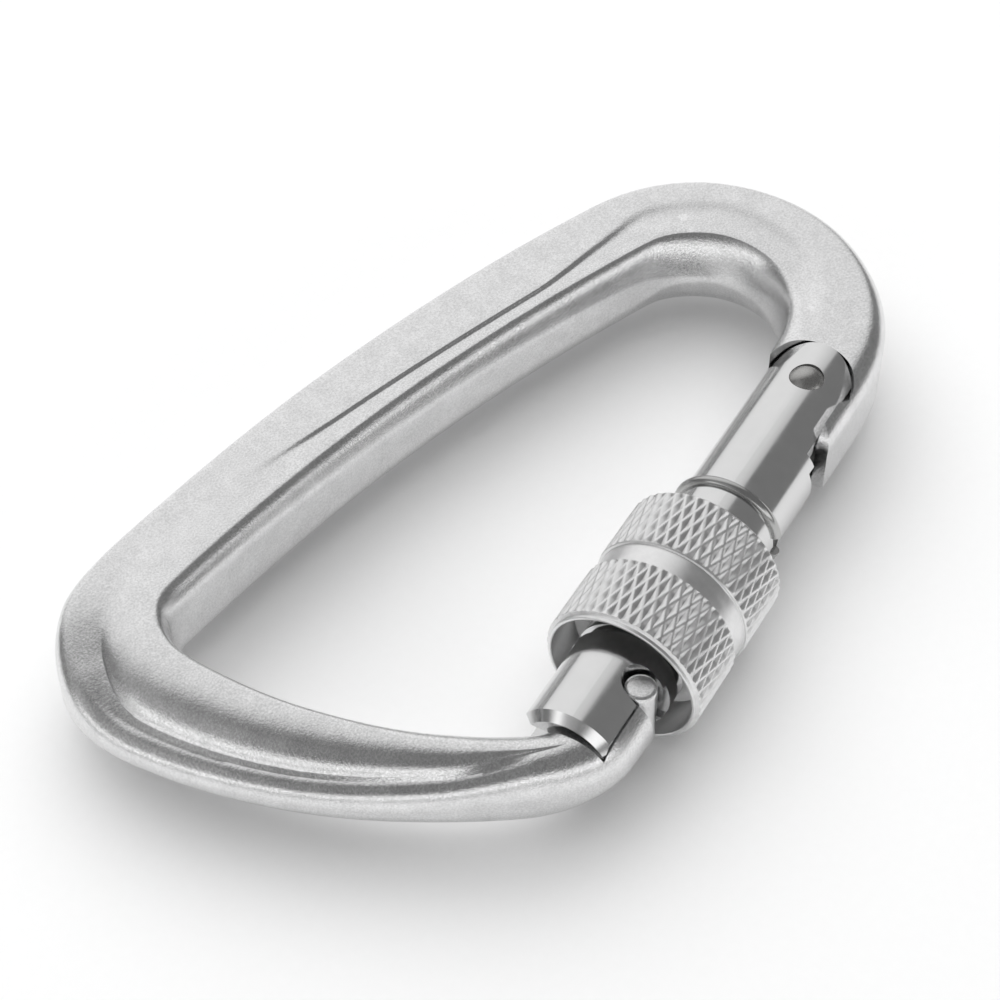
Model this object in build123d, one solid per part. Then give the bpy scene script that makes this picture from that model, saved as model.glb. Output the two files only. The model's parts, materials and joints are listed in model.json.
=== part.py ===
"""Screw-lock carabiner: forged frame, gate, hinge rivet, closing spring and plunger,
stop ring, friction ring and knurled locking sleeve.

Built about the hinge axis with the frame lying flat, then moved so that the origin is
under the middle of the whole carabiner, at the level of its lowest point. +X runs along
the length towards the hinge, +Z is up.  Along the gate, "s" is the distance from the
hinge towards the nose and "q" the distance towards the spine.
The sleeve is drawn just unlocked, the lowest place where the gate swings clear of it.
"""
from build123d import *
from dataclasses import dataclass, fields
from math import cos, pi, radians, sin
import os

# ---- frame: centreline of the forged bar -------------------------------------
GATE_ANGLE = 12.0          # gate axis against the length of the carabiner
HEEL_LENGTH = 6.4          # bar beyond the hinge axis, along the outside of the gate
HINGE_STRAIGHT = 4.45      # straight bar behind the hinge axis
TOP_BEND_RADIUS = 14.8     # rope end above the hinge
SPINE_HEADING = 168.8      # where the top bend meets the spine
SPINE_BOW_RADIUS = 253.0
CORNER_HEADING = 185.2     # where the spine meets the wide corner
CORNER_RADIUS = 9.0
BASKET_HEADING = 281.1     # where the corner meets the bottom bar
BASKET_RADIUS = 56.5
NOSE_HEADING = 323.0       # where the bottom bar turns up into the nose
NOSE_RADIUS = 6.4
NECK_STRAIGHT = 4.5
EASE = 3.0                 # half the length over which one curvature runs into the next

# ---- gate ------------------------------------------------------------------------
ROD_RADIUS = 5.75
GATE_LENGTH = 53.0
GATE_SWING = 25.0
EAR_RADIUS = 5.375         # rounded hinge end, set off centre to clear the heel
EAR_OFFSET = 0.375
EAR_TRAVEL = 0.08          # half of what the swing moves the ear's centre
EAR_GAP = 0.13
EAR_FLAT = 4.3             # outer flat beside the heel
EAR_FLAT_LENGTH = 8.4
TANG_HALF = 2.1            # frame tang between the fork ears
FORK_HALF = 2.25
FORK_DEPTH = 9.6
HEEL_GAP = 0.15
HEEL_THIN = 5.15           # inner face of the heel behind the hinge, where the ear turns past
HEEL_RAMP = (-0.3, 1.2)    # where it thickens
HEEL_ROUND = 3.6           # corners of the heel, seen from outside
TANG_SIDE = 5.0            # inner side of the tang
TANG_SIDE_START = -4.2
CLAW_SLOT_HALF = 2.55      # slot at the latch end, over the web of the nose
CLAW_SLOT_START = 42.1
CLAW_FLAT = 4.2            # outer flat of the claws
CLAW_FLAT_START = 46.6
CLAW_CHAMFER = 0.9         # on the end edge of the claws

# ---- nose ------------------------------------------------------------------------
WEB_HALF = 2.35
RELIEF_EDGE = 4.35         # the web starts this far outside the gate axis
RELIEF_END = 53.5
HEAD_S = 44.6              # T-head crossbar
HEAD_Q = -3.6
HEAD_RADIUS = 1.75
HEAD_HALF_LENGTH = 4.3

# ---- hinge rivet, plunger and spring ----------------------------------------------
PIN_RADIUS = 1.6
PIN_CLEARANCE = 0.05
PIN_HEAD_RADIUS = 1.9
PIN_HEAD_BASE = 5.25
PIN_HEAD_TOP = 6.35
PIN_RIM = 0.15             # straight edge below the dome
CAM_START = 7.3            # hinge axis to the centre of the plunger tip, gate closed
CAM_RISE = 2.5             # millimetres per radian of gate swing
TIP_RADIUS = 1.9
CAM_GAP = 0.06
PLUNGER_RADIUS = 2.1
BORE_RADIUS = 2.2
PLUNGER_END = 15.0
BORE_END = 27.5
SPRING_WIRE = 0.3
SPRING_RADIUS = 1.7
SPRING_TURNS = 8

# ---- locking sleeve, stop ring and friction ring --------------------------------------
SLEEVE_TOP = 22.85
SLEEVE_MOUTH = 41.95
SLEEVE_RADIUS = 8.84
BAND_RADIUS = 8.5
BAND_START = 31.05
BAND_WIDTH = 2.4
LIP_RADIUS = 8.45
LIP_LENGTH = 0.45
TOP_ROUND = 0.9
SLEEVE_BORE = 5.85
MOUTH_RADIUS = 8.05
MOUTH_DEPTH = 4.9
STOP_S = 18.2
STOP_WIRE = 0.6
STOP_RING_RADIUS = 5.78
STOP_RING_GAP = 24.0
GRIP_S = 25.6              # friction ring in its groove inside the sleeve
GRIP_HALF_WIDTH = 0.7
GRIP_OUTER = 6.75
GRIP_CLEARANCE = 0.08
THREAD_PITCH = 2.0
THREAD_START = 28.4
THREAD_TURNS = 6.4
NUT_THREAD_START = 32.4
NUT_THREAD_TURNS = 2.2
THREAD_DEPTH = 0.5
THREAD_CLEARANCE = 0.1


@dataclass
class Section:
    """One cross-section of the forged bar: an outer land and an inner face, with a step.

    Reaches lie across the bar and drops lie down from its faces.
    """

    heading: float      # direction of the centreline here
    width: float        # in the plane of the carabiner
    half: float         # half the thickness
    inner_reach: float  # rounding of the inner edge
    inner_drop: float
    outer_reach: float  # rounding of the outer edge
    outer_drop: float
    land: float         # outer land, from the outer edge to the step
    slope: float        # width of the step
    inner_sink: float   # inner face below the full thickness
    outer_sink: float = 0.0
    cant: float = 0.0   # fall of the outer land towards the outside
    crease: float = 0.0  # 1 where the step rises steeply from the land
    bevel: float = 0.0   # 1 where the inner edge is nearer a bevel than a rounding


HINGE = Section(12, 11.7, 5.4, 2.7, 2.5, 2.8, 2.6, 7.4, 1.0, 0.0)
HINGE_END = Section(32, 11.3, 5.4, 2.0, 2.2, 2.4, 2.3, 7.2, 1.4, 0.1)
BEND_EXIT = Section(60, 10.9, 5.4, 1.5, 2.6, 1.9, 2.0, 6.0, 2.8, 0.7, 0.0, 0.0, 0.35, 0.4)
BEND_LOW = Section(90, 11.4, 5.4, 2.2, 4.2, 1.6, 1.8, 4.4, 3.0, 0.5, 0.0, 0.0, 0.2, 0.9)
BEND = Section(125, 11.6, 5.4, 2.7, 5.0, 1.4, 1.6, 3.0, 3.4, 0.28, 0.0, 0.0, 0.0, 1.0)
BEND_START = Section(152, 11.1, 5.4, 2.5, 4.6, 1.2, 1.4, 3.2, 2.6, 0.25, 0.0, 0.0, 0.0, 1.0)
BEND_TOP = Section(168.8, 10.6, 5.4, 2.0, 3.4, 1.0, 1.2, 4.9, 1.4, 0.28, 0.0, 0.0, 0.0, 0.8)
SPINE_TOP = Section(172, 10.4, 5.4, 1.9, 3.0, 0.8, 1.0, 6.8, 0.6, 0.3, 0.0, 0.0, 0.0, 0.7)
SPINE = Section(178, 10.1, 5.4, 1.8, 2.6, 0.8, 1.0, 6.0, 0.6, 0.25, 0.0, 0.0, 0.0, 0.6)
SPINE_LOW = Section(183.5, 10.0, 5.4, 1.7, 2.2, 1.0, 1.2, 3.4, 2.4, 0.1, 0.2, 0.0, 0.2, 0.4)
CORNER_TOP = Section(212, 11.3, 5.4, 1.4, 2.0, 1.4, 1.5, 5.0, 4.2, 0.0, 0.7, 0.0, 0.8, 0.3)
CORNER = Section(245, 11.7, 5.4, 1.2, 1.6, 2.2, 2.2, 4.6, 5.2, 0.0, 1.8, 0.1, 1.0, 0.1)
BASKET_TOP = Section(278, 11.2, 5.35, 1.0, 1.5, 2.4, 2.0, 3.2, 6.0, 0.0, 2.7, 0.4, 1.0)
BASKET = Section(298, 8.9, 5.1, 1.2, 2.0, 1.9, 2.1, 2.4, 4.6, 0.0, 2.3, 0.4, 1.0)
BASKET_LOW = Section(312, 7.2, 4.85, 2.0, 2.8, 1.9, 2.7, 2.3, 2.5, 0.0, 1.3, 0.5, 0.9)
NOSE_START = Section(323, 6.5, 4.6, 2.8, 3.5, 2.7, 3.5, 3.1, 0.4, 0.0, 0.2)
NOSE_BEND = Section(342, 6.9, 4.3, 3.2, 3.5, 3.3, 3.6, 3.4, 0.2, 0.0)
NECK = Section(372, 8.3, 4.1, 3.8, 3.7, 3.9, 3.8, 4.1, 0.2, 0.0)
SECTIONS = (HINGE, HINGE_END, BEND_EXIT, BEND_LOW, BEND, BEND_START, BEND_TOP, SPINE_TOP,
            SPINE, SPINE_LOW, CORNER_TOP, CORNER, BASKET_TOP, BASKET, BASKET_LOW,
            NOSE_START, NOSE_BEND, NECK)

AXIS = Vector(cos(radians(GATE_ANGLE)), sin(radians(GATE_ANGLE)), 0)
INWARD = Vector(-AXIS.Y, AXIS.X, 0)


def on_gate(s, q=0.0, z=0.0):
    """A point given along and across the gate."""
    return AXIS * -s + INWARD * q + Vector(0, 0, z)


def gate_plane(s, q=0.0, z=0.0):
    """A plane across the gate axis, its normal towards the nose, its x axis up."""
    return Plane(origin=on_gate(s, q, z), x_dir=(0, 0, 1), z_dir=-AXIS)


def gate_block(s0, s1, q0, q1, z0, z1):
    """A block with its sides along and across the gate."""
    middle = on_gate((s0 + s1) / 2, (q0 + q1) / 2, (z0 + z1) / 2)
    base = Plane(origin=middle, x_dir=AXIS, z_dir=(0, 0, 1))
    return base * Box(abs(s1 - s0), abs(q1 - q0), abs(z1 - z0))


def gate_rod(s0, s1, radius):
    """A round bar on the gate axis."""
    align = (Align.CENTER, Align.CENTER, Align.MIN)
    return gate_plane(s0) * Cylinder(radius, s1 - s0, align=align)


def upright(s, q, radius, z0, z1):
    """A round bar square to the carabiner's plane."""
    align = (Align.CENTER, Align.CENTER, Align.MIN)
    return Location(on_gate(s, q, z0)) * Cylinder(radius, z1 - z0, align=align)


def heading_vector(heading):
    return Vector(cos(radians(heading)), sin(radians(heading)), 0)


def curvature_changes():
    """Where along the bar its curvature changes, and by how much."""
    bends = (
        (TOP_BEND_RADIUS, SPINE_HEADING),
        (SPINE_BOW_RADIUS, CORNER_HEADING),
        (CORNER_RADIUS, BASKET_HEADING),
        (BASKET_RADIUS, NOSE_HEADING),
        (NOSE_RADIUS, GATE_ANGLE + 360),
    )
    place = HEEL_LENGTH + HINGE_STRAIGHT
    heading = GATE_ANGLE
    before = 0.0
    changes = []
    for radius, last in bends:
        changes.append((place, 1 / radius - before))
        before = 1 / radius
        place += radius * radians(last - heading)
        heading = last
    changes.append((place, -before))
    return changes, place + NECK_STRAIGHT


def eased(x):
    """Zero before a change and x after it, with a smooth run between."""
    if x <= -EASE:
        return 0.0
    return x if x >= EASE else (x + EASE) ** 2 / (4 * EASE)


def centreline(spacing=2.0, fine=8):
    """Points of the bar's centreline with their headings, from the heel to the nose."""
    changes, length = curvature_changes()
    stations = round(length / spacing)
    step = length / (stations * fine)

    def heading_at(place):
        return GATE_ANGLE + sum(eased(place - start) * by for start, by in changes) * 180 / pi

    point = AXIS * -HEEL_LENGTH
    found = [(point, GATE_ANGLE)]
    for i in range(stations * fine):
        point = point + heading_vector(heading_at((i + 0.5) * step)) * step
        if (i + 1) % fine == 0:
            found.append((point, heading_at((i + 1) * step)))
    return found


def tangent(a, b, c, name):
    """Slope of one section measure at b, level where the measure turns round."""
    before = (getattr(b, name) - getattr(a, name)) / (b.heading - a.heading)
    after = (getattr(c, name) - getattr(b, name)) / (c.heading - b.heading)
    if before * after <= 0:
        return 0.0
    return 2 * before * after / (before + after)


def blend(heading):
    """The section at a heading, run smoothly through the named ones."""
    heading = min(max(heading, SECTIONS[0].heading), SECTIONS[-1].heading)
    i = next(k for k in range(len(SECTIONS) - 1) if heading <= SECTIONS[k + 1].heading)
    low, high = SECTIONS[i], SECTIONS[i + 1]
    span = high.heading - low.heading
    t = (heading - low.heading) / span
    values = []
    for name in (f.name for f in fields(Section)):
        a, b = getattr(low, name), getattr(high, name)
        start = tangent(SECTIONS[i - 1], low, high, name) if i > 0 else 0.0
        end = tangent(low, high, SECTIONS[i + 2], name) if i + 2 < len(SECTIONS) else 0.0
        eased_in = t * (1 - t) ** 2 * span * start
        eased_out = t * t * (t - 1) * span * end
        values.append(a + (b - a) * t * t * (3 - 2 * t) + eased_in + eased_out)
    return Section(*values)


def rounded(x0, z0, x1, z1, bevel=0.0):
    """Rounding from upright at (x0, z0) to level at (x1, z1), or nearer a bevel."""
    k = 0.5523
    foot = (x0 + (x1 - x0) * 0.25 * bevel, z0 + (z1 - z0) * k)
    return Bezier((x0, z0), foot, (x1 + (x0 - x1) * (k - 0.35 * bevel), z1), (x1, z1))


def upper_edges(c, sign):
    """The five edges over the top (sign 1) or under the bottom (sign -1) of a section."""
    outer = c.width / 2
    land_in = (c.half - c.outer_sink) * sign
    land_out = land_in - c.cant * sign
    face = (c.half - c.inner_sink) * sign
    step = outer - c.land
    foot = step - c.slope
    soft = c.slope * (0.45 - 0.27 * c.crease)
    steep = (face - land_in) * 0.7 * c.crease
    return [
        rounded(outer, land_out - c.outer_drop * sign, outer - c.outer_reach, land_out),
        Line((outer - c.outer_reach, land_out), (step, land_in)),
        Bezier((step, land_in), (step - soft, land_in + steep), (foot + c.slope * 0.5, face),
               (foot, face)),
        Line((foot, face), (-outer + c.inner_reach, face)),
        rounded(-outer, face - c.inner_drop * sign, -outer + c.inner_reach, face, c.bevel),
    ]


def section_face(point, heading):
    """The bar's cross-section at one station of the centreline."""
    c = blend(heading)
    outer = c.width / 2
    wall = c.half - c.outer_sink - c.cant - c.outer_drop
    inner_wall = c.half - c.inner_sink - c.inner_drop
    edges = [Line((outer, -wall), (outer, wall))]
    edges += upper_edges(c, 1)
    edges += [Line((-outer, inner_wall), (-outer, -inner_wall))]
    edges += reversed(upper_edges(c, -1))
    out = Vector(sin(radians(heading)), -cos(radians(heading)), 0)
    plane = Plane(origin=point, x_dir=out, z_dir=-heading_vector(heading))
    return plane * make_face(Wire(edges))


def forged_bar():
    return loft([section_face(point, heading) for point, heading in centreline()])


def cam_outline():
    """End of the tang: a face that the plunger tip follows at a small gap.

    The tip's centre climbs evenly as the gate swings, so the plunger travels
    CAM_RISE for each radian.
    """
    reach = TIP_RADIUS + CAM_GAP
    points = []
    for i in range(-3, 11):
        swing = radians(GATE_SWING * i / 7)
        angle = pi - swing
        distance = CAM_START + CAM_RISE * swing
        tip = Vector(distance * cos(angle), distance * sin(angle))
        along = Vector(
            CAM_RISE * cos(angle) + distance * sin(angle),
            CAM_RISE * sin(angle) - distance * cos(angle),
        )
        normal = Vector(-along.Y, along.X).normalized()
        if normal.dot(tip) > 0:
            normal = normal * -1
        points.append(tip + normal * reach)
    return points


def tang_cut():
    """Everything beyond the cam face and the inner side of the tang."""
    flank = cam_outline()
    first, last = flank[0], flank[-1]
    side = Polyline(
        last,
        (TANG_SIDE_START, TANG_SIDE),
        (0.5, TANG_SIDE),
        (5.6, TANG_SIDE + 1.2),
        (5.6, 16),
        (-16, 16),
        (-16, -EAR_FLAT - HEEL_GAP),
        (first.X - 0.6, -EAR_FLAT - HEEL_GAP),
        first,
    )
    face = make_face(Wire([Spline(*flank)] + side.edges()))
    body = extrude(face, 9, both=True)
    return Location((0, 0, 0), (0, 0, GATE_ANGLE)) * body


def heel_end():
    """Cutter that rounds off the end of the heel, seen from outside."""
    kept = gate_block(-6, HEEL_LENGTH, -13, -3, -5.5, 5.5)
    corners = kept.edges().filter_by(Axis((0, 0, 0), INWARD)).sort_by(Axis((0, 0, 0), -AXIS))[-2:]
    return gate_block(-1, 20, -12, -3.5, -9, 9) - fillet(corners, HEEL_ROUND)


def heel_side(z0, z1):
    """The heel and all outside it, with the inner face that the ear swings past."""
    face = -EAR_FLAT - HEEL_GAP
    start, end = HEEL_RAMP
    inner = [(-20, -HEEL_THIN), (start, -HEEL_THIN), (end, face), (30, face)]
    corners = [(-20, -20)] + inner + [(30, -20)]
    outline = Polyline([on_gate(s, q, z0) for s, q in corners], close=True)
    return extrude(make_face(outline), z1 - z0, dir=(0, 0, 1))


def ear_recess(side):
    """Room for one fork ear, beside the tang."""
    z0, z1 = sorted((TANG_HALF * side, 9.0 * side))
    well = upright(-EAR_TRAVEL, EAR_OFFSET, EAR_RADIUS + EAR_GAP, z0, z1)
    trough = gate_block(-0.2, 20, -12, 12, z0, z1)
    return well + trough - heel_side(z0, z1)


def make_frame():
    bar = forged_bar()
    for side in (1, -1):
        bar -= ear_recess(side)
        z0, z1 = sorted((WEB_HALF * side, 9.0 * side))
        bar -= gate_block(35, RELIEF_END, -RELIEF_EDGE, 14, z0, z1)
    bar -= tang_cut()
    bar -= heel_end()
    pin_hole = upright(0, 0, PIN_RADIUS + PIN_CLEARANCE, -9, 9)
    bar -= pin_hole
    bar -= gate_block(20, HEAD_S, -12, 12, -9, 9)
    bar -= gate_block(40, 46.6, HEAD_Q + HEAD_RADIUS, 12, -9, 9)
    head = upright(HEAD_S, HEAD_Q, HEAD_RADIUS, -HEAD_HALF_LENGTH, HEAD_HALF_LENGTH)
    head = chamfer(head.edges().filter_by(GeomType.CIRCLE), 0.45)
    return bar + head


def thread(start, turns, crest, root, half_crest, half_root):
    """A helical ridge from its root radius out (or in) to its crest radius."""
    path = Helix(pitch=THREAD_PITCH, height=THREAD_PITCH * turns, radius=root)
    profile = Plane(origin=path @ 0, x_dir=(1, 0, 0), z_dir=path % 0) * make_face(
        Polyline(
            (0, -half_root), (crest - root, -half_crest),
            (crest - root, half_crest), (0, half_root), close=True,
        )
    )
    ridge = sweep(profile, path=path, is_frenet=True)
    return gate_plane(start) * ridge


def make_gate():
    rod = gate_rod(0, GATE_LENGTH, ROD_RADIUS)
    end_edge = rod.edges().filter_by(GeomType.CIRCLE).sort_by(Axis((0, 0, 0), -AXIS))[-1]
    rod = chamfer(end_edge, CLAW_CHAMFER)
    ear = gate_rod(-8, 0.5, ROD_RADIUS) & upright(0, EAR_OFFSET, EAR_RADIUS, -9, 9)
    rod += ear
    rod -= gate_block(-9, EAR_FLAT_LENGTH, -9, -EAR_FLAT, -9, 9)
    rod -= gate_block(-9, FORK_DEPTH, -9, 9, -FORK_HALF, FORK_HALF)
    rod -= gate_block(CLAW_SLOT_START, 60, -9, 9, -CLAW_SLOT_HALF, CLAW_SLOT_HALF)
    rod -= gate_block(CLAW_FLAT_START, 60, -9, -CLAW_FLAT, -9, 9)
    rod -= upright(HEAD_S, HEAD_Q, HEAD_RADIUS + 0.25, -9, 9)
    rod -= gate_block(HEAD_S - 2.05, HEAD_S + 2.0, -9, HEAD_Q, -9, 9)
    rod -= gate_rod(FORK_DEPTH - 1, BORE_END, BORE_RADIUS)
    rod -= upright(0, 0, PIN_RADIUS, -9, 9)
    for side in (1, -1):
        z0, z1 = sorted((PIN_HEAD_BASE * side, 9.0 * side))
        rod -= upright(0, 0, PIN_HEAD_RADIUS + 0.02, z0, z1)
    rod -= gate_plane(STOP_S) * Torus(STOP_RING_RADIUS, STOP_WIRE + 0.02)
    groove = thread(THREAD_START, THREAD_TURNS, ROD_RADIUS - THREAD_DEPTH,
                    ROD_RADIUS + 0.15, 0.3, 0.58)
    return rod - groove


def make_pin():
    """Rivet with a shallow dome at each end."""
    pin = upright(0, 0, PIN_RADIUS, -PIN_HEAD_BASE, PIN_HEAD_BASE)
    rise = PIN_HEAD_TOP - PIN_HEAD_BASE - PIN_RIM
    dome_radius = (PIN_HEAD_RADIUS**2 + rise**2) / (2 * rise)
    profile = make_face(
        Polyline((0, PIN_HEAD_BASE + PIN_RIM), (0, PIN_HEAD_BASE), (PIN_HEAD_RADIUS, PIN_HEAD_BASE),
                 (PIN_HEAD_RADIUS, PIN_HEAD_BASE + PIN_RIM)).edges()
        + RadiusArc((PIN_HEAD_RADIUS, PIN_HEAD_BASE + PIN_RIM), (0, PIN_HEAD_TOP),
                    -dome_radius).edges()
        + Line((0, PIN_HEAD_TOP), (0, PIN_HEAD_BASE + PIN_RIM)).edges()
    )
    head = revolve(Plane.XZ * profile, Axis.Z)
    return pin + head + mirror(head, Plane.XY)


def make_plunger():
    """Round-nosed pin that the spring holds against the tang."""
    tip = Location(on_gate(CAM_START)) * Sphere(TIP_RADIUS)
    neck = gate_rod(CAM_START, CAM_START + 3.5, TIP_RADIUS)
    shank = gate_rod(CAM_START + 3.5, PLUNGER_END, PLUNGER_RADIUS)
    return tip + neck + shank


def make_spring():
    gap = 0.03
    start = PLUNGER_END + SPRING_WIRE + gap
    height = BORE_END - start - SPRING_WIRE - gap
    path = Helix(pitch=height / SPRING_TURNS, height=height, radius=SPRING_RADIUS)
    profile = Plane(origin=path @ 0, z_dir=path % 0) * Circle(SPRING_WIRE)
    return gate_plane(start) * sweep(profile, path=path, is_frenet=True)


def make_stop_ring():
    """Wire ring snapped into its groove in the rod."""
    half_gap = STOP_RING_GAP / 2
    path = CenterArc((0, 0), STOP_RING_RADIUS, half_gap, 360 - STOP_RING_GAP)
    profile = Plane(origin=path @ 0, z_dir=path % 0) * Circle(STOP_WIRE)
    return gate_plane(STOP_S) * Rot(0, 0, -90) * sweep(profile, path=path)


def make_friction_ring():
    """Split ring that grips the rod and slides along it without turning."""
    plane = gate_plane(GRIP_S - GRIP_HALF_WIDTH)
    align = (Align.CENTER, Align.CENTER, Align.MIN)
    ring = Cylinder(GRIP_OUTER, 2 * GRIP_HALF_WIDTH, align=align)
    ring -= Cylinder(ROD_RADIUS + 0.02, 9)
    ring -= Location((0, -GRIP_OUTER, 0)) * Box(0.8, 4, 9)
    return plane * ring


def make_sleeve():
    body = gate_rod(SLEEVE_TOP, SLEEVE_MOUTH, SLEEVE_RADIUS)
    rims = body.edges().filter_by(GeomType.CIRCLE).sort_by(Axis((0, 0, 0), -AXIS))
    body = fillet(rims[0], TOP_ROUND)
    lip = gate_rod(SLEEVE_MOUTH - LIP_LENGTH, SLEEVE_MOUTH + 1, 12)
    lip -= gate_rod(SLEEVE_MOUTH - LIP_LENGTH, SLEEVE_MOUTH + 1, LIP_RADIUS)
    band = gate_rod(BAND_START, BAND_START + BAND_WIDTH, 12)
    band -= gate_rod(BAND_START, BAND_START + BAND_WIDTH, BAND_RADIUS)
    body -= lip
    body -= band
    body -= gate_rod(SLEEVE_TOP - 1, SLEEVE_MOUTH + 1, SLEEVE_BORE)
    body -= gate_rod(SLEEVE_MOUTH - MOUTH_DEPTH, SLEEVE_MOUTH + 1, MOUTH_RADIUS)
    groove_half = GRIP_HALF_WIDTH + GRIP_CLEARANCE
    body -= gate_rod(GRIP_S - groove_half, GRIP_S + groove_half, GRIP_OUTER + GRIP_CLEARANCE)
    ridge = thread(NUT_THREAD_START, NUT_THREAD_TURNS,
                   ROD_RADIUS - THREAD_DEPTH + THREAD_CLEARANCE, SLEEVE_BORE + 0.1, 0.2, 0.42)
    return body + ridge


MAKERS = {
    "frame": make_frame,
    "gate": make_gate,
    "hinge_pin": make_pin,
    "spring_plunger": make_plunger,
    "gate_spring": make_spring,
    "stop_ring": make_stop_ring,
    "friction_ring": make_friction_ring,
    "locking_sleeve": make_sleeve,
}


def write_parts():
    shapes = {name: make() for name, make in MAKERS.items()}
    box = Compound(children=[s.solids()[0] for s in shapes.values()]).bounding_box()
    shift = Location((-box.center().X, -box.center().Y, -box.min.Z))
    os.makedirs("parts", exist_ok=True)
    for name, shape in shapes.items():
        placed = shift * shape
        placed.label = name
        export_step(placed, f"parts/{name}.step")
    print("hinge axis at", (shift * Location((0, 0, 0))).position)


write_parts()
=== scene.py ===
"""Looks for the screw-lock carabiner: forged satin frame, polished gate, knurled sleeve.

Everything is built about the hinge axis in millimetres, as the CAD is, and then placed
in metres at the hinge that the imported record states.  "s" runs along the gate from the
hinge towards the nose, "q" across it towards the spine, "z" up.
"""
import json
from math import cos, pi, radians, sin

import bmesh
import bpy
import numpy as np
from mathutils import Matrix, Vector


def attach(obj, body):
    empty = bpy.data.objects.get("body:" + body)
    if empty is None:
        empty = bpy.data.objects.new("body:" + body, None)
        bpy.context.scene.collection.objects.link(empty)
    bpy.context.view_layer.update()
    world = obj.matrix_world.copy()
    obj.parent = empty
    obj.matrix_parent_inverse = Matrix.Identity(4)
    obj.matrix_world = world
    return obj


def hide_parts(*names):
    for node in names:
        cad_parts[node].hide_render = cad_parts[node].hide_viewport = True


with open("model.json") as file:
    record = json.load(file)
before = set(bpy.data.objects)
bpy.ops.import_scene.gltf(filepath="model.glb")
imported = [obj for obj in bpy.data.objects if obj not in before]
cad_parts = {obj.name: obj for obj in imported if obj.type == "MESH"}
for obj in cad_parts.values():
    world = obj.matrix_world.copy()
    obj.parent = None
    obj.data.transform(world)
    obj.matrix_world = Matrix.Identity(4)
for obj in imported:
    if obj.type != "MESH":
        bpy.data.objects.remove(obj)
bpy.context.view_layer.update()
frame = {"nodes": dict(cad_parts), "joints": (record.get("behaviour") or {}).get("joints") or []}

MM = 0.001
GATE_SWING = next(j for j in frame["joints"] if j["name"] == "gate_swing")
HINGE = Vector(GATE_SWING["pos_m"])

# ---- the gate's direction -----------------------------------------------------
GATE_ANGLE = 12.0
AXIS = Vector((cos(radians(GATE_ANGLE)), sin(radians(GATE_ANGLE)), 0))
INWARD = Vector((-AXIS.y, AXIS.x, 0))
UP = Vector((0, 0, 1))

# ---- forged bar, as in the CAD ------------------------------------------------
HEEL_LENGTH = 6.4
HINGE_STRAIGHT = 4.45
BENDS = ((14.8, 168.8), (253.0, 185.2), (9.0, 281.1), (56.5, 323.0), (6.4, 372.0))
NECK_STRAIGHT = 4.5
EASE = 3.0
RING_SPACING = 0.35

# ---- hinge and nose -----------------------------------------------------------
EAR_RADIUS = 5.375
EAR_OFFSET = 0.375
EAR_TRAVEL = 0.08
EAR_GAP = 0.13
EAR_FLAT = 4.3
HEEL_GAP = 0.15
HEEL_THIN = 5.15
HEEL_RAMP = (-0.3, 1.2)
HEEL_ROUND = 3.6
HEEL_HALF = 5.5
TANG_HALF = 2.1
TANG_SIDE = 5.0
TANG_SIDE_START = -4.2
SWING = 25.0
CAM_START = 7.3
CAM_RISE = 2.5
CAM_REACH = 1.96
PIN_HOLE = 1.65
WEB_HALF = 2.35
RELIEF_START = 35.0
RELIEF_EDGE = 4.35
RELIEF_END = 53.5
NECK_START = 40.0            # the bar inside the crossbar is cut from here
NECK_END = 46.6
HEAD_S = 44.6
HEAD_Q = -3.6
HEAD_RADIUS = 1.75
HEAD_HALF_LENGTH = 4.3
HEAD_ROUND = 0.5
CLEAR = 9.0                  # cutters reach this far above and below the middle plane
FAR_SIDE = 14.0              # and this far towards the spine

# ---- sleeve -------------------------------------------------------------------
SLEEVE_TOP = 22.85
SLEEVE_MOUTH = 41.95
SLEEVE_RADIUS = 8.84
BAND_RADIUS = 8.5
BAND_START = 31.05
BAND_END = 33.45
LIP_RADIUS = 8.45
LIP_LENGTH = 0.45
SLEEVE_BORE = 5.85
MOUTH_RADIUS = 8.05
MOUTH_DEPTH = 4.9
GRIP_START = 24.82
GRIP_END = 26.38
GRIP_GROOVE = 6.83
KNURL_STARTS = 44
KNURL_LENGTH = 3.4          # one diamond along the axis
KNURL_DEPTH = 0.3
KNURL_RIDGE = 0.18          # share of a diamond taken by the ridges round it
KNURL_STEPS = 12            # mesh steps across one diamond

# ---- rivet and camera ---------------------------------------------------------
RIVET_RING = 0.0007         # metres between the ring marks on the rivet's head
CAMERA_OFFSET = Vector((-0.16433, -0.10421, 0.21286))
CAMERA_LENS = 93.6


class Section:
    """One cross-section of the forged bar: an outer land and an inner face, with a step."""

    NAMES = ("heading", "width", "half", "inner_reach", "inner_drop", "outer_reach",
             "outer_drop", "land", "slope", "inner_sink", "outer_sink", "cant", "crease", "bevel")

    def __init__(self, *values):
        values = list(values) + [0.0] * (len(self.NAMES) - len(values))
        for name, value in zip(self.NAMES, values):
            setattr(self, name, value)


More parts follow.
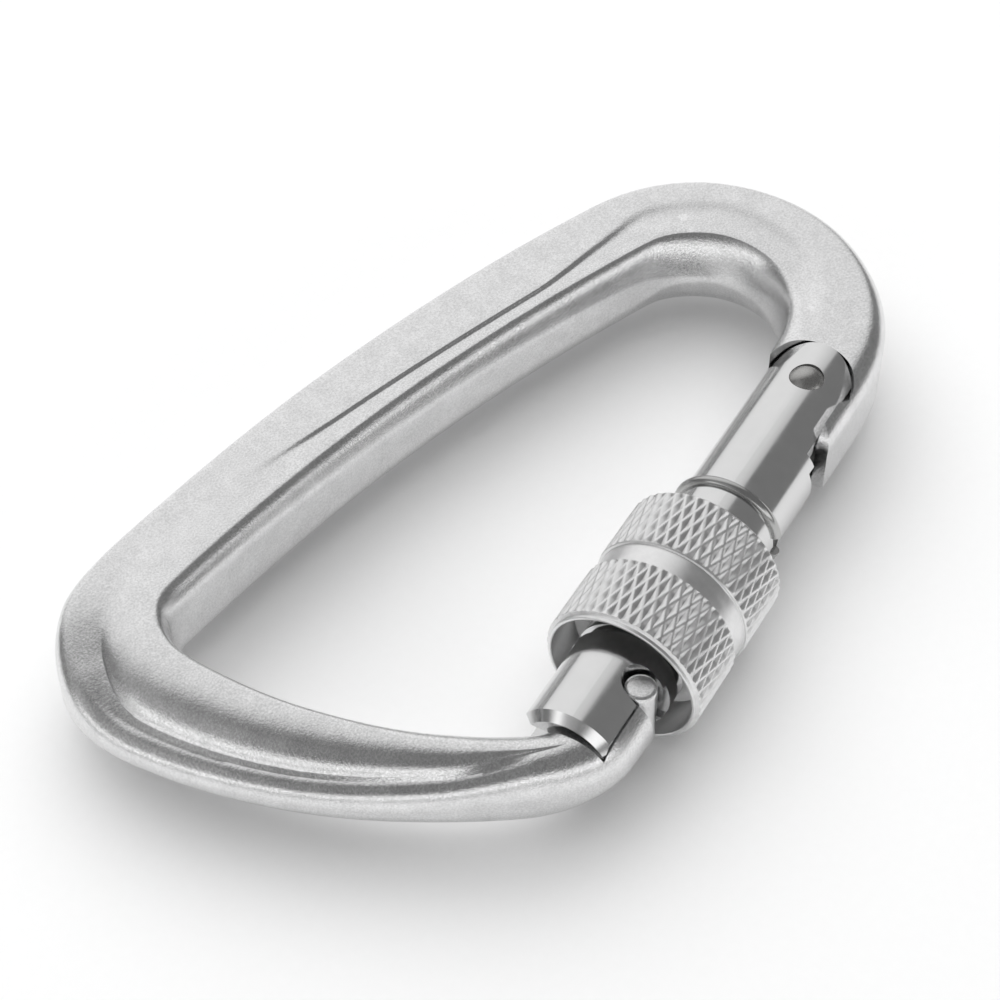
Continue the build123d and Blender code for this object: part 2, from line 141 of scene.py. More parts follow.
HINGE_SECTION = Section(12, 11.7, 5.4, 2.7, 2.5, 2.8, 2.6, 7.4, 1.0, 0.0)
HINGE_END = Section(32, 11.3, 5.4, 2.0, 2.2, 2.4, 2.3, 7.2, 1.4, 0.1)
BEND_EXIT = Section(60, 10.9, 5.4, 1.5, 2.6, 1.9, 2.0, 6.0, 2.8, 0.7, 0.0, 0.0, 0.35, 0.4)
BEND_LOW = Section(90, 11.4, 5.4, 2.2, 4.2, 1.6, 1.8, 4.4, 3.0, 0.5, 0.0, 0.0, 0.2, 0.9)
BEND = Section(125, 11.6, 5.4, 2.7, 5.0, 1.4, 1.6, 3.0, 3.4, 0.28, 0.0, 0.0, 0.0, 1.0)
BEND_START = Section(152, 11.1, 5.4, 2.5, 4.6, 1.2, 1.4, 3.2, 2.6, 0.25, 0.0, 0.0, 0.0, 1.0)
BEND_TOP = Section(168.8, 10.6, 5.4, 2.0, 3.4, 1.0, 1.2, 4.9, 1.4, 0.28, 0.0, 0.0, 0.0, 0.8)
SPINE_TOP = Section(172, 10.4, 5.4, 1.9, 3.0, 0.8, 1.0, 6.8, 0.6, 0.3, 0.0, 0.0, 0.0, 0.7)
SPINE = Section(178, 10.1, 5.4, 1.8, 2.6, 0.8, 1.0, 6.0, 0.6, 0.25, 0.0, 0.0, 0.0, 0.6)
SPINE_LOW = Section(183.5, 10.0, 5.4, 1.7, 2.2, 1.0, 1.2, 3.4, 2.4, 0.1, 0.2, 0.0, 0.2, 0.4)
CORNER_TOP = Section(212, 11.3, 5.4, 1.4, 2.0, 1.4, 1.5, 5.0, 4.2, 0.0, 0.7, 0.0, 0.8, 0.3)
CORNER = Section(245, 11.7, 5.4, 1.2, 1.6, 2.2, 2.2, 4.6, 5.2, 0.0, 1.8, 0.1, 1.0, 0.1)
BASKET_TOP = Section(278, 11.2, 5.35, 1.0, 1.5, 2.4, 2.0, 3.2, 6.0, 0.0, 2.7, 0.4, 1.0)
BASKET = Section(298, 8.9, 5.1, 1.2, 2.0, 1.9, 2.1, 2.4, 4.6, 0.0, 2.3, 0.4, 1.0)
BASKET_LOW = Section(312, 7.2, 4.85, 2.0, 2.8, 1.9, 2.7, 2.3, 2.5, 0.0, 1.3, 0.5, 0.9)
NOSE_START = Section(323, 6.5, 4.6, 2.8, 3.5, 2.7, 3.5, 3.1, 0.4, 0.0, 0.2)
NOSE_BEND = Section(342, 6.9, 4.3, 3.2, 3.5, 3.3, 3.6, 3.4, 0.2, 0.0)
NECK = Section(372, 8.3, 4.1, 3.8, 3.7, 3.9, 3.8, 4.1, 0.2, 0.0)
SECTIONS = (HINGE_SECTION, HINGE_END, BEND_EXIT, BEND_LOW, BEND, BEND_START, BEND_TOP,
            SPINE_TOP, SPINE, SPINE_LOW, CORNER_TOP, CORNER, BASKET_TOP, BASKET, BASKET_LOW,
            NOSE_START, NOSE_BEND, NECK)


# ---- mesh helpers ---------------------------------------------------------------
def on_gate(s, q=0.0, z=0.0):
    """A point given along and across the gate, in millimetres from the hinge."""
    return AXIS * -s + INWARD * q + UP * z


def link(name, bm):
    """A mesh object from millimetre geometry about the hinge, placed in metres."""
    bmesh.ops.transform(bm, matrix=Matrix.Translation(HINGE) @ Matrix.Scale(MM, 4), verts=bm.verts)
    mesh = bpy.data.meshes.new(name)
    bm.to_mesh(mesh)
    bm.free()
    obj = bpy.data.objects.new(name, mesh)
    bpy.context.scene.collection.objects.link(obj)
    return obj


def prism(outline, direction):
    """A closed solid: a flat outline carried along a direction."""
    bm = bmesh.new()
    low = [bm.verts.new(p) for p in outline]
    high = [bm.verts.new(Vector(p) + direction) for p in outline]
    bm.faces.new(low)
    bm.faces.new(high)
    for i in range(len(low)):
        j = (i + 1) % len(low)
        bm.faces.new((low[i], low[j], high[j], high[i]))
    bmesh.ops.recalc_face_normals(bm, faces=bm.faces)
    return bm


def gate_block(s0, s1, q0, q1, z0, z1):
    """A block with its sides along and across the gate."""
    outline = [on_gate(s, q, z0) for s, q in ((s0, q0), (s1, q0), (s1, q1), (s0, q1))]
    return prism(outline, UP * (z1 - z0))


def circle(s, q, radius, z, count=96):
    """Points round a level circle."""
    turns = [2 * pi * i / count for i in range(count)]
    return [on_gate(s + radius * cos(t), q + radius * sin(t), z) for t in turns]


def upright(s, q, radius, z0, z1):
    """A round bar square to the carabiner's plane."""
    return prism(circle(s, q, radius, z0), UP * (z1 - z0))


def combine(target, cutter, operation):
    """Applies one solid to another with Blender's exact boolean."""
    modifier = target.modifiers.new("cut", "BOOLEAN")
    modifier.operation = operation
    modifier.solver = "EXACT"
    modifier.object = cutter
    graph = bpy.context.evaluated_depsgraph_get()
    mesh = bpy.data.meshes.new_from_object(target.evaluated_get(graph))
    target.modifiers.clear()
    old = target.data
    target.data = mesh
    bpy.data.meshes.remove(old)
    bpy.data.objects.remove(cutter)


def smooth(obj, angle):
    """Smooth shading with edges sharper than the angle kept crisp."""
    for polygon in obj.data.polygons:
        polygon.use_smooth = True
    obj.data.set_sharp_from_angle(angle=radians(angle))


# ---- forged frame ---------------------------------------------------------------
def heading_vector(heading):
    """The direction of a heading in degrees."""
    return Vector((cos(radians(heading)), sin(radians(heading)), 0))


def eased(x):
    """Zero before a change of curvature and x after it, with a smooth run between."""
    if x <= -EASE:
        return 0.0
    return x if x >= EASE else (x + EASE) ** 2 / (4 * EASE)


def centreline(fine=8):
    """Points of the bar's centreline with their headings, evenly spaced."""
    place = HEEL_LENGTH + HINGE_STRAIGHT
    heading = GATE_ANGLE
    before = 0.0
    changes = []
    for radius, last in BENDS:
        changes.append((place, 1 / radius - before))
        before = 1 / radius
        place += radius * radians(last - heading)
        heading = last
    changes.append((place, -before))
    length = place + NECK_STRAIGHT
    stations = round(length / RING_SPACING)
    step = length / (stations * fine)

    def heading_at(x):
        return GATE_ANGLE + sum(eased(x - start) * by for start, by in changes) * 180 / pi

    point = AXIS * -HEEL_LENGTH
    found = [(point.copy(), GATE_ANGLE)]
    for i in range(stations * fine):
        point = point + heading_vector(heading_at((i + 0.5) * step)) * step
        if (i + 1) % fine == 0:
            found.append((point.copy(), heading_at((i + 1) * step)))
    return found


def tangent(a, b, c, name):
    """Slope of one section measure at b, level where the measure turns round."""
    before = (getattr(b, name) - getattr(a, name)) / (b.heading - a.heading)
    after = (getattr(c, name) - getattr(b, name)) / (c.heading - b.heading)
    return 0.0 if before * after <= 0 else 2 * before * after / (before + after)


def blend(heading):
    """The section at a heading, run smoothly through the named ones."""
    heading = min(max(heading, SECTIONS[0].heading), SECTIONS[-1].heading)
    i = next(k for k in range(len(SECTIONS) - 1) if heading <= SECTIONS[k + 1].heading)
    low, high = SECTIONS[i], SECTIONS[i + 1]
    span = high.heading - low.heading
    t = (heading - low.heading) / span
    values = []
    for name in Section.NAMES:
        a, b = getattr(low, name), getattr(high, name)
        start = tangent(SECTIONS[i - 1], low, high, name) if i > 0 else 0.0
        end = tangent(low, high, SECTIONS[i + 2], name) if i + 2 < len(SECTIONS) else 0.0
        value = a + (b - a) * t * t * (3 - 2 * t)
        values.append(value + t * (1 - t) ** 2 * span * start + t * t * (t - 1) * span * end)
    return Section(*values)


def bezier(points, count):
    """Points along a cubic curve, without its first."""
    a, b, c, d = (np.array(p) for p in points)
    t = np.linspace(0, 1, count + 1)[1:, None]
    return list((1 - t) ** 3 * a + 3 * t * (1 - t) ** 2 * b + 3 * t * t * (1 - t) * c + t ** 3 * d)


def straight(a, b, count):
    """Points along a line, without its first."""
    t = np.linspace(0, 1, count + 1)[1:, None]
    return list(np.array(a) * (1 - t) + np.array(b) * t)


def rounded(x0, z0, x1, z1, count, bevel=0.0):
    """Rounding from upright at (x0, z0) to level at (x1, z1), or nearer a bevel."""
    k = 0.5523
    foot = (x0 + (x1 - x0) * 0.25 * bevel, z0 + (z1 - z0) * k)
    return bezier([(x0, z0), foot, (x1 + (x0 - x1) * (k - 0.35 * bevel), z1), (x1, z1)], count)


def upper_half(c):
    """Outline of a section from its outermost point over the top to its innermost."""
    outer = c.width / 2
    land_in = c.half - c.outer_sink
    land_out = land_in - c.cant
    face = c.half - c.inner_sink
    step = outer - c.land
    foot = step - c.slope
    soft = c.slope * (0.45 - 0.27 * c.crease)
    steep = (face - land_in) * 0.7 * c.crease
    wall = land_out - c.outer_drop
    inner_wall = face - c.inner_drop
    line = [np.array((outer, 0.0))]
    line += straight((outer, 0.0), (outer, wall), 3)
    line += rounded(outer, wall, outer - c.outer_reach, land_out, 12)
    line += straight((outer - c.outer_reach, land_out), (step, land_in), 5)
    line += bezier([(step, land_in), (step - soft, land_in + steep),
                    (foot + c.slope * 0.5, face), (foot, face)], 14)
    line += straight((foot, face), (-outer + c.inner_reach, face), 5)
    line += rounded(-outer, inner_wall, -outer + c.inner_reach, face, 16, c.bevel)[-2::-1]
    line.append(np.array((-outer, inner_wall)))
    line += straight((-outer, inner_wall), (-outer, 0.0), 4)
    return line


def bar_mesh():
    """The whole bar before it is cut for the hinge and the nose."""
    bm = bmesh.new()
    rings = []
    for point, heading in centreline():
        upper = upper_half(blend(heading))
        outline = upper + [np.array((x, -z)) for x, z in upper[-2:0:-1]]
        out = Vector((sin(radians(heading)), -cos(radians(heading)), 0))
        rings.append([bm.verts.new(point + out * x + UP * z) for x, z in outline])
    count = len(rings[0])
    for a, b in zip(rings, rings[1:]):
        for i in range(count):
            j = (i + 1) % count
            bm.faces.new((a[i], a[j], b[j], b[i]))
    bm.faces.new(rings[0])
    bm.faces.new(rings[-1])
    bmesh.ops.recalc_face_normals(bm, faces=bm.faces)
    return bm


def cam_outline():
    """The face at the end of the tang that the plunger's tip follows."""
    points = []
    for i in range(-6, 21):
        swing = radians(SWING * i / 14)
        angle = pi - swing
        distance = CAM_START + CAM_RISE * swing
        tip = Vector((distance * cos(angle), distance * sin(angle)))
        along = Vector((CAM_RISE * cos(angle) + distance * sin(angle),
                        CAM_RISE * sin(angle) - distance * cos(angle)))
        normal = Vector((-along.y, along.x)).normalized()
        if normal.dot(tip) > 0:
            normal = -normal
        points.append(tip + normal * CAM_REACH)
    return points


def tang_cut():
    """Cutter for everything beyond the cam face and the inner side of the tang."""
    flank = cam_outline()
    first = flank[0]
    corners = [(TANG_SIDE_START, TANG_SIDE), (0.5, TANG_SIDE), (5.6, TANG_SIDE + 1.2), (5.6, 16),
               (-16, 16), (-16, -EAR_FLAT - HEEL_GAP), (first.x - 0.6, -EAR_FLAT - HEEL_GAP)]
    outline = [on_gate(-x, y, -CLEAR) for x, y in [*flank, *corners]]
    return prism(outline, UP * 2 * CLEAR)


def heel_side(z0, z1):
    """The heel and all outside it, with the inner face that the ear swings past."""
    face = -EAR_FLAT - HEEL_GAP
    start, end = HEEL_RAMP
    inner = [(-20, -HEEL_THIN), (start, -HEEL_THIN), (end, face), (30, face)]
    corners = [(-20, -20), *inner, (30, -20)]
    return prism([on_gate(s, q, z0) for s, q in corners], UP * (z1 - z0))


def heel_cut():
    """Cutter that rounds off the end of the heel, seen from outside."""
    centre_s = HEEL_LENGTH - HEEL_ROUND
    centre_z = HEEL_HALF - HEEL_ROUND
    turns = [pi / 2 * i / 24 for i in range(25)]
    upper = [(centre_s + HEEL_ROUND * sin(t), centre_z + HEEL_ROUND * cos(t)) for t in turns]
    lower = [(s, -z) for s, z in reversed(upper)]
    corners = [(-1, -HEEL_HALF), (-1, -CLEAR), (20, -CLEAR),
               (20, CLEAR), (-1, CLEAR), (-1, HEEL_HALF)]
    outline = [on_gate(s, -12, z) for s, z in [*upper, *lower, *corners]]
    return prism(outline, INWARD * 8.5)


def crossbar():
    """T-head across the end of the nose, its ends rounded."""
    bm = bmesh.new()
    core = HEAD_RADIUS - HEAD_ROUND
    flat = HEAD_HALF_LENGTH - HEAD_ROUND
    arc = [pi / 2 * i / 6 for i in range(7)]
    upper = [(core + HEAD_ROUND * cos(t), flat + HEAD_ROUND * sin(t)) for t in arc]
    profile = [(r, -z) for r, z in reversed(upper)] + upper
    around = 64
    rings = [[bm.verts.new(p) for p in circle(HEAD_S, HEAD_Q, r, z, around)] for r, z in profile]
    for a, b in zip(rings, rings[1:]):
        for i in range(around):
            j = (i + 1) % around
            bm.faces.new((a[i], a[j], b[j], b[i]))
    bm.faces.new(rings[0])
    bm.faces.new(rings[-1])
    bmesh.ops.recalc_face_normals(bm, faces=bm.faces)
    return bm


def ear_recess(low, high):
    """Cutter for one fork ear: a round well and the trough beyond it, less the heel."""
    well = link("well", upright(-EAR_TRAVEL, EAR_OFFSET, EAR_RADIUS + EAR_GAP, low, high))
    trough = gate_block(-0.2, 20, -11, 11, low - 0.01, high + 0.01)
    combine(well, link("trough", trough), "UNION")
    combine(well, link("heel", heel_side(low - 1, high + 1)), "DIFFERENCE")
    return well


def make_frame():
    """The forged bar, cut for the fork ears, the plunger, the heel and the nose."""
    bar = link("forged_frame", bar_mesh())
    for side in (1, -1):
        low, high = sorted((TANG_HALF * side, CLEAR * side))
        combine(bar, ear_recess(low, high), "DIFFERENCE")
        low, high = sorted((WEB_HALF * side, CLEAR * side))
        relief = gate_block(RELIEF_START, RELIEF_END, -RELIEF_EDGE, FAR_SIDE, low, high)
        combine(bar, link("relief", relief), "DIFFERENCE")
    cutters = {
        "tang": tang_cut(),
        "heel": heel_cut(),
        "hole": upright(0, 0, PIN_HOLE, -CLEAR, CLEAR),
        "end": gate_block(20, HEAD_S, -12, 12, -CLEAR, CLEAR),
        "inside": gate_block(NECK_START, NECK_END, HEAD_Q + HEAD_RADIUS, 12, -CLEAR, CLEAR),
    }
    for name, cutter in cutters.items():
        combine(bar, link(name, cutter), "DIFFERENCE")
    combine(bar, link("head", crossbar()), "UNION")
    smooth(bar, 32)
    return bar


# ---- knurled sleeve --------------------------------------------------------------
def sleeve_profile():
    """(s, radius, knurl share) down the outside from the top and back up the bore."""
    step = KNURL_LENGTH / KNURL_STEPS
    rows = [(SLEEVE_TOP, 7.3, 0), (SLEEVE_TOP, 7.75, 0), (SLEEVE_TOP + 0.12, 8.1, 0),
            (SLEEVE_TOP + 0.32, 8.42, 0), (SLEEVE_TOP + 0.5, 8.6, 0)]
    rows += knurl_rows(SLEEVE_TOP + 0.65, BAND_START - 0.25, step)
    rows += [(BAND_START - 0.18, 8.78, 0), (BAND_START - 0.06, 8.72, 0),
             (BAND_START, BAND_RADIUS + 0.04, 0), (BAND_START + 0.05, BAND_RADIUS, 0)]
    rows += [(BAND_START + 0.2 + i * 0.4, BAND_RADIUS, 0) for i in range(6)]
    rows += [(BAND_END, BAND_RADIUS, 0), (BAND_END + 0.04, BAND_RADIUS + 0.05, 0)]
    rows += knurl_rows(BAND_END + 0.2, SLEEVE_MOUTH - LIP_LENGTH - 0.1, step)
    lip = SLEEVE_MOUTH - LIP_LENGTH
    rows += [(lip, LIP_RADIUS + 0.05, 0), (lip + 0.05, LIP_RADIUS, 0), (lip + 0.3, LIP_RADIUS, 0),
             (SLEEVE_MOUTH - 0.06, LIP_RADIUS - 0.02, 0), (SLEEVE_MOUTH, LIP_RADIUS - 0.1, 0),
             (SLEEVE_MOUTH, MOUTH_RADIUS + 0.1, 0), (SLEEVE_MOUTH - 0.08, MOUTH_RADIUS, 0)]
    floor = SLEEVE_MOUTH - MOUTH_DEPTH
    rows += [(SLEEVE_MOUTH - 0.6, MOUTH_RADIUS, 0), (SLEEVE_MOUTH - 2.4, MOUTH_RADIUS, 0),
             (floor + 0.25, MOUTH_RADIUS, 0), (floor + 0.07, MOUTH_RADIUS - 0.07, 0),
             (floor, MOUTH_RADIUS - 0.25, 0), (floor, SLEEVE_BORE + 0.35, 0),
             (floor - 0.1, SLEEVE_BORE + 0.2, 0), (floor - 0.3, SLEEVE_BORE, 0)]
    rows += [(GRIP_END, SLEEVE_BORE, 0), (GRIP_END, GRIP_GROOVE, 0), (GRIP_START, GRIP_GROOVE, 0),
             (GRIP_START, SLEEVE_BORE, 0), (SLEEVE_TOP + 0.3, SLEEVE_BORE, 0),
             (SLEEVE_TOP + 0.05, SLEEVE_BORE + 0.2, 0), (SLEEVE_TOP, SLEEVE_BORE + 0.5, 0)]
    return rows


def knurl_rows(start, end, step):
    """Rows over one knurled band on the diamond lattice, its ends run out to plain metal."""
    first = int(np.ceil(start / step))
    last = int(np.floor(end / step))
    rows = [(start, SLEEVE_RADIUS - 0.1, 0)]
    for i in range(first, last + 1):
        s = i * step
        fade = min(1.0, (s - start + 0.12) / 0.25, (end - s + 0.12) / 0.25)
        rows.append((s, SLEEVE_RADIUS, max(0.0, fade)))
    rows.append((end, SLEEVE_RADIUS - 0.1, 0))
    return rows


def pit(i, row):
    """Depth of the knurl at one lattice point, 0 on the crossed ridges and 1 between them."""
    along = (i + row) / KNURL_STEPS
    across = (i - row) / KNURL_STEPS
    nearest = min(abs(along - round(along)), abs(across - round(across)))
    return max(0.0, (2 * nearest - KNURL_RIDGE) / (1 - KNURL_RIDGE))


def make_sleeve():
    """A lathe-turned sleeve with two bands of crossed knurling, cut as geometry."""
    bm = bmesh.new()
    around = KNURL_STARTS * KNURL_STEPS
    step = KNURL_LENGTH / KNURL_STEPS
    # each vertex keeps its pit depth; the sleeve material uses it for painted shade in the pits and
    # for their real rougher finish
    layer = bm.verts.layers.float.new("pit")
    rings = []
    for s, radius, share in sleeve_profile():
        row = round(s / step)
        ring = []
        for i in range(around):
            depth = pit(i, row) * share
            r = radius - KNURL_DEPTH * depth
            t = 2 * pi * i / around
            vert = bm.verts.new(on_gate(s, r * cos(t), r * sin(t)))
            vert[layer] = depth
            ring.append(vert)
        rings.append((ring, row))
    for (a, row), (b, _) in zip(rings, rings[1:] + rings[:1]):
        for i in range(around):
            j = (i + 1) % around
            if (i + row) % 2:
                bm.faces.new((a[i], a[j], b[i]))
                bm.faces.new((a[j], b[j], b[i]))
            else:
                bm.faces.new((a[i], a[j], b[j]))
                bm.faces.new((a[i], b[j], b[i]))
    bmesh.ops.recalc_face_normals(bm, faces=bm.faces)
    sleeve = link("knurled_sleeve", bm)
    smooth(sleeve, 28)
    return sleeve


# ---- materials -------------------------------------------------------------------
class Nodes:
    """A material's or world's node tree, with short ways to add and join nodes."""

    def __init__(self, owner):
        owner.use_nodes = True
        self.tree = owner.node_tree
        self.tree.nodes.clear()

    def add(self, kind, inputs=(), **settings):
        node = self.tree.nodes.new(kind)
        for name, value in settings.items():
            setattr(node, name, value)
        for name, value in dict(inputs).items():
            self.feed(node, name, value)
        return node

    def feed(self, node, name, value):
        """Sets an input to a value, or joins another node's output to it."""
        if isinstance(value, bpy.types.Node):
            value = value.outputs[0]
        if isinstance(value, bpy.types.NodeSocket):
            self.tree.links.new(value, node.inputs[name])
        else:
            node.inputs[name].default_value = value

    def place(self, turn=0.0, stretch=(1, 1, 1)):
        """Object coordinates turned about z and stretched, for a texture."""
        source = self.add("ShaderNodeTexCoord").outputs["Object"]
        turned = self.add("ShaderNodeMapping", {"Vector": source, "Rotation": (0, 0, radians(turn))})
        return self.add("ShaderNodeMapping", {"Vector": turned, "Scale": stretch})

    def noise(self, vector, scale, detail=3.0, roughness=0.6):
        """Cloudy noise, its scale in features to the metre."""
        return self.add("ShaderNodeTexNoise", {"Vector": vector, "Scale": scale, "Detail": detail,
                                               "Roughness": roughness})

    def remap(self, value, low, high, to_low, to_high):
        """A value carried from one range to another, held at its ends."""
        return self.add("ShaderNodeMapRange", {"Value": value, "From Min": low, "From Max": high,
                                               "To Min": to_low, "To Max": to_high})

    def math(self, operation, a, b=0.0):
        return self.add("ShaderNodeMath", {0: a, 1: b}, operation=operation)

    def grey(self, value, low, high, tint=(1.0, 1.0, 1.0)):
        """A colour between two grey levels, with a slight tint."""
        ramp = self.add("ShaderNodeValToRGB", {"Fac": value})
        for element, level in zip(ramp.color_ramp.elements, (low, high)):
            element.color = (*(level * t for t in tint), 1)
        return ramp

    def bump(self, height, distance, strength=1.0):
        """A normal disturbed by a height, its depth in metres."""
        return self.add("ShaderNodeBump", {"Height": height, "Distance": distance,
                                           "Strength": strength})


def finish_metal(nodes, colour, roughness, normal):
    """A metal surface as the material's output."""
    shader = nodes.add("ShaderNodeBsdfPrincipled", {"Base Color": colour, "Metallic": 1.0,
                                                    "Roughness": roughness, "Normal": normal})
    nodes.add("ShaderNodeOutputMaterial", {"Surface": shader})


def forged_aluminium():
    """Bead-blasted and tumbled: an even fine grain, cloudy patches, and convex edges burnished
    smoother and lifted in colour as a painted highlight.
    """
    material = bpy.data.materials.new("forged_aluminium")
    nodes = Nodes(material)
    grain = nodes.noise(nodes.place(), 3600, 4.0, 0.7)
    mottle = nodes.noise(nodes.place(), 420, 3.0)
    fine = nodes.remap(nodes.noise(nodes.place(), 4600, 2.0), 0.34, 0.66, 0, 1)
    # convex edges, found from pointiness: their colour is lifted as a painted highlight, and their
    # lower roughness is real burnish
    edge_wear_and_highlight = nodes.remap(nodes.add("ShaderNodeNewGeometry").outputs["Pointiness"], 0.51, 0.6, 0, 1)
    shade = nodes.math("ADD", nodes.math("MULTIPLY", mottle, 0.6), nodes.math("MULTIPLY", fine, 0.4))
    shade = nodes.math("ADD", shade, nodes.math("MULTIPLY", edge_wear_and_highlight, 0.2))
    colour = nodes.grey(shade, 0.54, 0.92, (1.0, 1.0, 1.003))
    rough = nodes.remap(mottle, 0.3, 0.7, 0.16, 0.21)
    rough = nodes.math("SUBTRACT", rough, nodes.math("MULTIPLY", edge_wear_and_highlight, 0.06))
    normal = nodes.bump(grain, 0.000032, 1.0)
    finish_metal(nodes, colour, rough, normal)
    return material


def polished_aluminium():
    """Turned and polished, with the faintest lines left round the rod."""
    material = bpy.data.materials.new("polished_aluminium")
    nodes = Nodes(material)
    turned = nodes.noise(nodes.place(-GATE_ANGLE, (1, 0.02, 0.02)), 7000, 2.0)
    cloud = nodes.noise(nodes.place(), 500, 3.0)
    colour = nodes.grey(cloud, 0.66, 0.73)
    rough = nodes.remap(cloud, 0.3, 0.7, 0.12, 0.18)
    normal = nodes.bump(turned, 0.000003, 0.6)
    finish_metal(nodes, colour, rough, normal)
    return material


def sleeve_aluminium():
    """Knurled and polished: bright ridges, and pits with painted shade and a rougher finish."""
    material = bpy.data.materials.new("sleeve_aluminium")
    nodes = Nodes(material)
    inside = nodes.add("ShaderNodeAttribute", attribute_name="pit").outputs["Fac"]
    turned = nodes.noise(nodes.place(-GATE_ANGLE, (1, 0.02, 0.02)), 8000, 2.0)
    cloud = nodes.noise(nodes.place(), 900, 3.0)
    depth = nodes.remap(inside, 0.35, 0.9, 0, 1)
    # painted shade: the colour is darkened by the pit depth, standing in for the shade that falls
    # into the knurl's pits; the roughness rise below is real
    shade = nodes.math("SUBTRACT", cloud, nodes.math("MULTIPLY", depth, 0.6))
    colour = nodes.grey(shade, 0.68, 0.92)
    rough = nodes.remap(cloud, 0.3, 0.7, 0.3, 0.38)
    rough = nodes.math("ADD", rough, nodes.math("MULTIPLY", depth, 0.1))
    normal = nodes.bump(turned, 0.000004, 0.6)
    finish_metal(nodes, colour, rough, normal)
    return material


def rivet_steel():
    """Ring marks left by the riveting tool round the pin's head."""
    material = bpy.data.materials.new("rivet_steel")
    nodes = Nodes(material)
    source = nodes.add("ShaderNodeTexCoord").outputs["Object"]
    centred = nodes.add("ShaderNodeMapping", {"Vector": source, "Location": -HINGE,
                                              "Scale": (1, 1, 0)})
    radius = nodes.add("ShaderNodeVectorMath", {0: centred}, operation="LENGTH").outputs["Value"]
    rings = nodes.math("SINE", nodes.math("MULTIPLY", radius, 2 * pi / RIVET_RING))
    grain = nodes.noise(nodes.place(), 5200, 3.0)
    shade = nodes.math("ADD", nodes.math("MULTIPLY", rings, 0.2), grain)
    colour = nodes.grey(shade, 0.36, 0.52, (1.0, 0.99, 0.97))
    rough = nodes.remap(grain, 0.3, 0.7, 0.24, 0.34)
    normal = nodes.bump(nodes.math("ADD", rings, grain), 0.000006, 0.4)
    finish_metal(nodes, colour, rough, normal)
    return material


def spring_steel():
    """Drawn wire, with fine lengthwise marks."""
    material = bpy.data.materials.new("spring_steel")
    nodes = Nodes(material)
    drawn = nodes.noise(nodes.place(0, (1, 1, 0.3)), 6500, 2.0)
    colour = nodes.grey(drawn, 0.42, 0.52, (1.0, 1.0, 0.99))
    rough = nodes.remap(drawn, 0.3, 0.7, 0.16, 0.26)
    finish_metal(nodes, colour, rough, nodes.bump(drawn, 0.000005, 0.6))
    return material


def ring_plastic():
    """Natural moulded nylon."""
    material = bpy.data.materials.new("ring_plastic")
    nodes = Nodes(material)
    grain = nodes.noise(nodes.place(), 2400, 3.0)
    colour = nodes.grey(grain, 0.72, 0.84, (1.0, 0.985, 0.94))
    shader = nodes.add("ShaderNodeBsdfPrincipled", {
        "Base Color": colour, "Roughness": nodes.remap(grain, 0.3, 0.7, 0.4, 0.6),
        "Subsurface Weight": 0.15, "Subsurface Scale": 0.001,
        "Normal": nodes.bump(grain, 0.00002, 0.5)})
    nodes.add("ShaderNodeOutputMaterial", {"Surface": shader})
    return material


def dress(obj, material):
    """Gives a piece its material."""
    obj.data.materials.clear()
    obj.data.materials.append(material)


# ---- studio ----------------------------------------------------------------------
def make_world():
    """A tall soft source behind the object and to its right, in an otherwise dim room."""
    world = bpy.data.worlds.new("studio")
    bpy.context.scene.world = world
    nodes = Nodes(world)
    direction = nodes.add("ShaderNodeTexCoord").outputs["Generated"]

    def facing(target):
        vectors = {0: direction, 1: Vector(target).normalized()}
        product = nodes.add("ShaderNodeVectorMath", vectors, operation="DOT_PRODUCT")
        return product.outputs["Value"]

    def band(value, start, full, end_full, end):
        rise = nodes.remap(value, start, full, 0, 1)
        fall = nodes.remap(value, end_full, end, 1, 0)
        return nodes.math("MULTIPLY", rise, fall)

    softbox = facing((0.45, 0.75, 0.5))
    core = nodes.remap(softbox, 0.69, 0.95, 0.62, 1.0)
    edge = nodes.remap(softbox, 0.68, 0.71, 0, 1)
    bright = nodes.math("MULTIPLY", core, edge)
    height = nodes.add("ShaderNodeSeparateXYZ", {"Vector": direction}).outputs["Z"]
    near = nodes.remap(facing((-0.74, -0.67, 0)), 0.12, 0.3, 0, 1)
    strip = nodes.math("MULTIPLY", band(height, 0.13, 0.16, 0.42, 0.48), near)
    side = nodes.remap(facing((-0.704, 0.328, 0.629)), 0.85, 0.95, 0, 0.2)
    total = nodes.math("MAXIMUM", bright, nodes.math("MULTIPLY", strip, 1.4))
    total = nodes.math("MAXIMUM", total, nodes.math("ADD", side, 0.22))
    background = nodes.add("ShaderNodeBackground", {"Color": total, "Strength": 1.0})
    nodes.add("ShaderNodeOutputWorld", {"Surface": background})


def make_light():
    """A wide overhead panel: it lifts the floor and drops a soft contact shadow."""
    data = bpy.data.lights.new("overhead_panel", "AREA")
    data.shape = "DISK"
    data.size = 1.6
    data.energy = 9.0
    lamp = bpy.data.objects.new("overhead_panel", data)
    lamp.location = (0.15, 0.25, 0.8)
    lamp.rotation_euler = (Vector((0, 0, 0)) - lamp.location).to_track_quat("-Z", "Y").to_euler()
    lamp.visible_glossy = False
    bpy.context.scene.collection.objects.link(lamp)


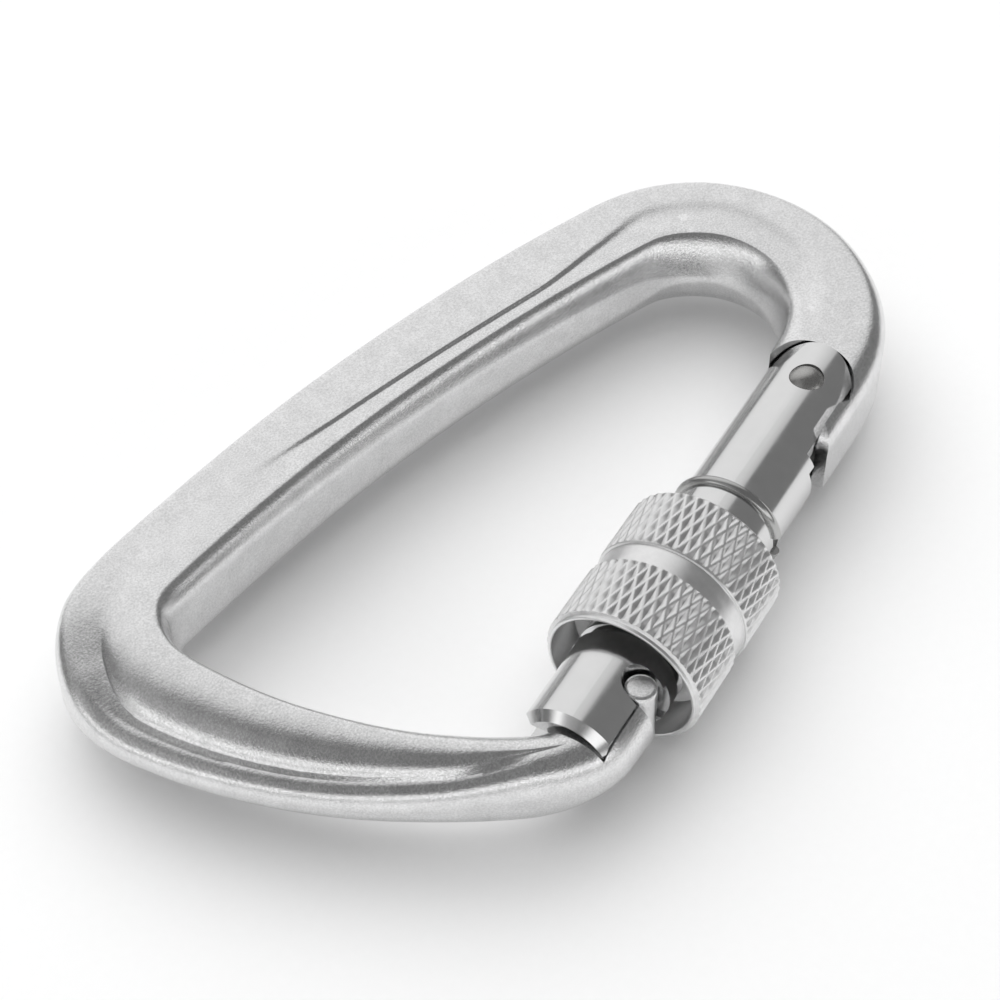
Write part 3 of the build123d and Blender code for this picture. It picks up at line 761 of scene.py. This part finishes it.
def make_floor():
    """A plain pale sheet of paper."""
    bm = bmesh.new()
    bmesh.ops.create_grid(bm, x_segments=24, y_segments=24, size=3)
    mesh = bpy.data.meshes.new("floor")
    bm.to_mesh(mesh)
    bm.free()
    floor = bpy.data.objects.new("floor", mesh)
    bpy.context.scene.collection.objects.link(floor)
    material = bpy.data.materials.new("floor")
    nodes = Nodes(material)
    paper = nodes.noise(nodes.place(), 900, 2.0)
    shader = nodes.add("ShaderNodeBsdfPrincipled", {
        "Base Color": nodes.grey(paper, 0.9, 0.92), "Roughness": 0.9, "Specular IOR Level": 0.1})
    nodes.add("ShaderNodeOutputMaterial", {"Surface": shader})
    mesh.materials.append(material)


def make_camera():
    """The photograph's viewpoint, given from the hinge."""
    data = bpy.data.cameras.new("camera")
    data.lens = CAMERA_LENS
    data.sensor_width = 36
    data.clip_start = 0.01
    camera = bpy.data.objects.new("camera", data)
    across = Vector((0.6720, -0.7405, 0.0))
    upward = Vector((0.5667, 0.5143, 0.6437))
    backward = across.cross(upward)
    turn = Matrix((across, upward, backward)).transposed().to_4x4()
    camera.matrix_world = Matrix.Translation(HINGE + CAMERA_OFFSET) @ turn
    bpy.context.scene.collection.objects.link(camera)
    bpy.context.scene.camera = camera
    bpy.context.scene.view_settings.view_transform = "Standard"


# ---- assembly --------------------------------------------------------------------
FINISHES = {
    "gate": ("polished_aluminium", polished_aluminium()),
    "hinge_pin": ("rivet_steel", rivet_steel()),
    "stop_ring": ("spring_steel", spring_steel()),
    "friction_ring": ("ring_plastic", ring_plastic()),
}
FINISHES["spring_plunger"] = FINISHES["hinge_pin"]
FINISHES["gate_spring"] = FINISHES["stop_ring"]
for node, (slot, material) in FINISHES.items():
    dress(frame["nodes"][node], material)

forging = make_frame()
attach(forging, "frame")
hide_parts("frame")
dress(forging, forged_aluminium())

sleeve = make_sleeve()
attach(sleeve, "sleeve")
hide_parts("locking_sleeve")
dress(sleeve, sleeve_aluminium())

make_world()
make_light()
make_floor()
make_camera()
